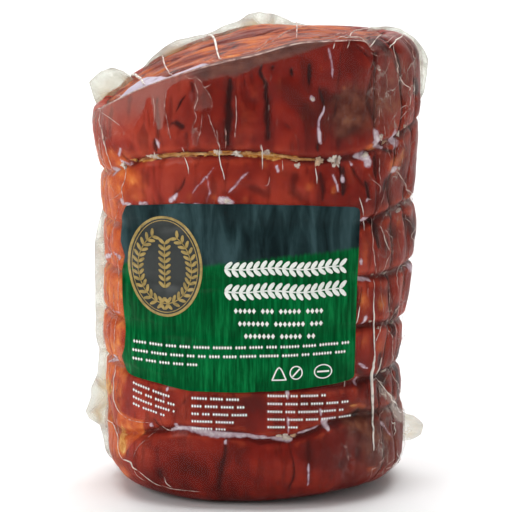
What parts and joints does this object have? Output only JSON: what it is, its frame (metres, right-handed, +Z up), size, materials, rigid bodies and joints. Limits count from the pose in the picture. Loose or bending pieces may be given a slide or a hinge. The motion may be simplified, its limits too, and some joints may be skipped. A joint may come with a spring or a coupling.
{
  "type": "porchetta",
  "caption": "Half of a rolled and tied roast porchetta standing on its cut end, sealed in a clear vacuum bag with a green and slate printed field on the front.",
  "frame": {"origin": "middle of the pack's outline, on the foot that it stands on", "axes": "+Z up along the roll's axis, from the foot to the arched end; -Y is the printed front"},
  "size_m": [0.1802, 0.1422, 0.2394],
  "materials": {
    "bagged_roast": "roast pork rind under clear, clinging film",
    "roast": "browned pork rind and torn roast flesh, moist",
    "twine": "cotton string soaked in gel and set fat",
    "film": "clear shrink film, glossy, milky where it is creased or doubled",
    "print": "green and slate ink on film, with pale and gold marks"
  },
  "bodies": {
    "root": {"vacuum_pack": "bagged_roast"}
  },
  "joints": []
}
